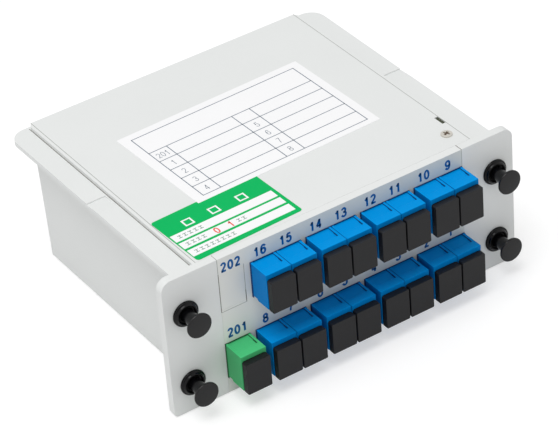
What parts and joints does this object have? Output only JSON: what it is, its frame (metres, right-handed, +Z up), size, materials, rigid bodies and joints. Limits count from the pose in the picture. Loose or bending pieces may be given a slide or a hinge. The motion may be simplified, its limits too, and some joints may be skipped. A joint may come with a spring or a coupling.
{
  "type": "plc fibre splitter",
  "caption": "Insertion-type fibre splitter cassette: flat-topped plastic box with capped adapters on its front panel, slide flanges and push-pull latches.",
  "frame": {"origin": "centre of the flat bottom face of the base", "axes": "+X along the front panel to the right seen from the front, +Y from the front panel to the rear, +Z up through the cover"},
  "size_m": [0.13, 0.1111, 0.0507],
  "materials": {
    "shell_plastic": "fine satin",
    "plate_plastic": "smooth gloss",
    "adapter_blue": "moulded gloss",
    "adapter_green": "moulded gloss",
    "cap_black": "soft matt",
    "latch_black": "polished gloss",
    "screw_nickel": "nickel plated",
    "label_white": "satin label film",
    "label_green": "satin label film",
    "sleeve_ceramic": "ground ceramic",
    "connector_body": "moulded",
    "fibre_jacket": "smooth jacket",
    "module_steel": "drawn steel",
    "boot_rubber": "moulded"
  },
  "bodies": {
    "cassette": {"base_shell": "shell_plastic", "front_plate": "plate_plastic", "cover": "shell_plastic", "cover_screw": "screw_nickel", "blank_plug": "plate_plastic", "table_label": "label_white", "check_label": "label_green", "latch_grommets": "latch_black", "alignment_sleeves": "sleeve_ceramic", "output_connectors": "connector_body", "input_connector": "connector_body", "lower_fibres": "fibre_jacket", "upper_fibres": "fibre_jacket", "fibre_riser": "fibre_jacket", "splitter_module": "module_steel", "module_boots": "boot_rubber", "adapter_201": "adapter_green", "adapter_16": "adapter_blue", "adapter_15": "adapter_blue", "adapter_14": "adapter_blue", "adapter_13": "adapter_blue", "adapter_12": "adapter_blue", "adapter_11": "adapter_blue", "adapter_10": "adapter_blue", "adapter_09": "adapter_blue", "adapter_08": "adapter_blue", "adapter_07": "adapter_blue", "adapter_06": "adapter_blue", "adapter_05": "adapter_blue", "adapter_04": "adapter_blue", "adapter_03": "adapter_blue", "adapter_02": "adapter_blue", "adapter_01": "adapter_blue"},
    "dust_cap_201_body": {"dust_cap_201": "cap_black"},
    "dust_cap_16_body": {"dust_cap_16": "cap_black"},
    "dust_cap_15_body": {"dust_cap_15": "cap_black"},
    "dust_cap_14_body": {"dust_cap_14": "cap_black"},
    "dust_cap_13_body": {"dust_cap_13": "cap_black"},
    "dust_cap_12_body": {"dust_cap_12": "cap_black"},
    "dust_cap_11_body": {"dust_cap_11": "cap_black"},
    "dust_cap_10_body": {"dust_cap_10": "cap_black"},
    "dust_cap_09_body": {"dust_cap_09": "cap_black"},
    "dust_cap_08_body": {"dust_cap_08": "cap_black"},
    "dust_cap_07_body": {"dust_cap_07": "cap_black"},
    "dust_cap_06_body": {"dust_cap_06": "cap_black"},
    "dust_cap_05_body": {"dust_cap_05": "cap_black"},
    "dust_cap_04_body": {"dust_cap_04": "cap_black"},
    "dust_cap_03_body": {"dust_cap_03": "cap_black"},
    "dust_cap_02_body": {"dust_cap_02": "cap_black"},
    "dust_cap_01_body": {"dust_cap_01": "cap_black"},
    "latch_plunger_left_lower_body": {"latch_plunger_left_lower": "latch_black"},
    "latch_plunger_left_upper_body": {"latch_plunger_left_upper": "latch_black"},
    "latch_plunger_right_lower_body": {"latch_plunger_right_lower": "latch_black"},
    "latch_plunger_right_upper_body": {"latch_plunger_right_upper": "latch_black"}
  },
  "joints": [
    {"name": "pull_cap_201", "type": "slide", "parent": "cassette", "child": "dust_cap_201_body", "axis": [0, -1, 0], "range_m": [0, 0.02]},
    {"name": "pull_cap_16", "type": "slide", "parent": "cassette", "child": "dust_cap_16_body", "axis": [0, -1, 0], "range_m": [0, 0.02]},
    {"name": "pull_cap_15", "type": "slide", "parent": "cassette", "child": "dust_cap_15_body", "axis": [0, -1, 0], "range_m": [0, 0.02]},
    {"name": "pull_cap_14", "type": "slide", "parent": "cassette", "child": "dust_cap_14_body", "axis": [0, -1, 0], "range_m": [0, 0.02]},
    {"name": "pull_cap_13", "type": "slide", "parent": "cassette", "child": "dust_cap_13_body", "axis": [0, -1, 0], "range_m": [0, 0.02]},
    {"name": "pull_cap_12", "type": "slide", "parent": "cassette", "child": "dust_cap_12_body", "axis": [0, -1, 0], "range_m": [0, 0.02]},
    {"name": "pull_cap_11", "type": "slide", "parent": "cassette", "child": "dust_cap_11_body", "axis": [0, -1, 0], "range_m": [0, 0.02]},
    {"name": "pull_cap_10", "type": "slide", "parent": "cassette", "child": "dust_cap_10_body", "axis": [0, -1, 0], "range_m": [0, 0.02]},
    {"name": "pull_cap_09", "type": "slide", "parent": "cassette", "child": "dust_cap_09_body", "axis": [0, -1, 0], "range_m": [0, 0.02]},
    {"name": "pull_cap_08", "type": "slide", "parent": "cassette", "child": "dust_cap_08_body", "axis": [0, -1, 0], "range_m": [0, 0.02]},
    {"name": "pull_cap_07", "type": "slide", "parent": "cassette", "child": "dust_cap_07_body", "axis": [0, -1, 0], "range_m": [0, 0.02]},
    {"name": "pull_cap_06", "type": "slide", "parent": "cassette", "child": "dust_cap_06_body", "axis": [0, -1, 0], "range_m": [0, 0.02]},
    {"name": "pull_cap_05", "type": "slide", "parent": "cassette", "child": "dust_cap_05_body", "axis": [0, -1, 0], "range_m": [0, 0.02]},
    {"name": "pull_cap_04", "type": "slide", "parent": "cassette", "child": "dust_cap_04_body", "axis": [0, -1, 0], "range_m": [0, 0.02]},
    {"name": "pull_cap_03", "type": "slide", "parent": "cassette", "child": "dust_cap_03_body", "axis": [0, -1, 0], "range_m": [0, 0.02]},
    {"name": "pull_cap_02", "type": "slide", "parent": "cassette", "child": "dust_cap_02_body", "axis": [0, -1, 0], "range_m": [0, 0.02]},
    {"name": "pull_cap_01", "type": "slide", "parent": "cassette", "child": "dust_cap_01_body", "axis": [0, -1, 0], "range_m": [0, 0.02]},
    {"name": "push_latch_left_lower", "type": "slide", "parent": "cassette", "child": "latch_plunger_left_lower_body", "axis": [0, 1, 0], "range_m": [0, 0.0054]},
    {"name": "push_latch_left_upper", "type": "slide", "parent": "cassette", "child": "latch_plunger_left_upper_body", "axis": [0, 1, 0], "range_m": [0, 0.0054]},
    {"name": "push_latch_right_lower", "type": "slide", "parent": "cassette", "child": "latch_plunger_right_lower_body", "axis": [0, 1, 0], "range_m": [0, 0.0054]},
    {"name": "push_latch_right_upper", "type": "slide", "parent": "cassette", "child": "latch_plunger_right_upper_body", "axis": [0, 1, 0], "range_m": [0, 0.0054]}
  ]
}
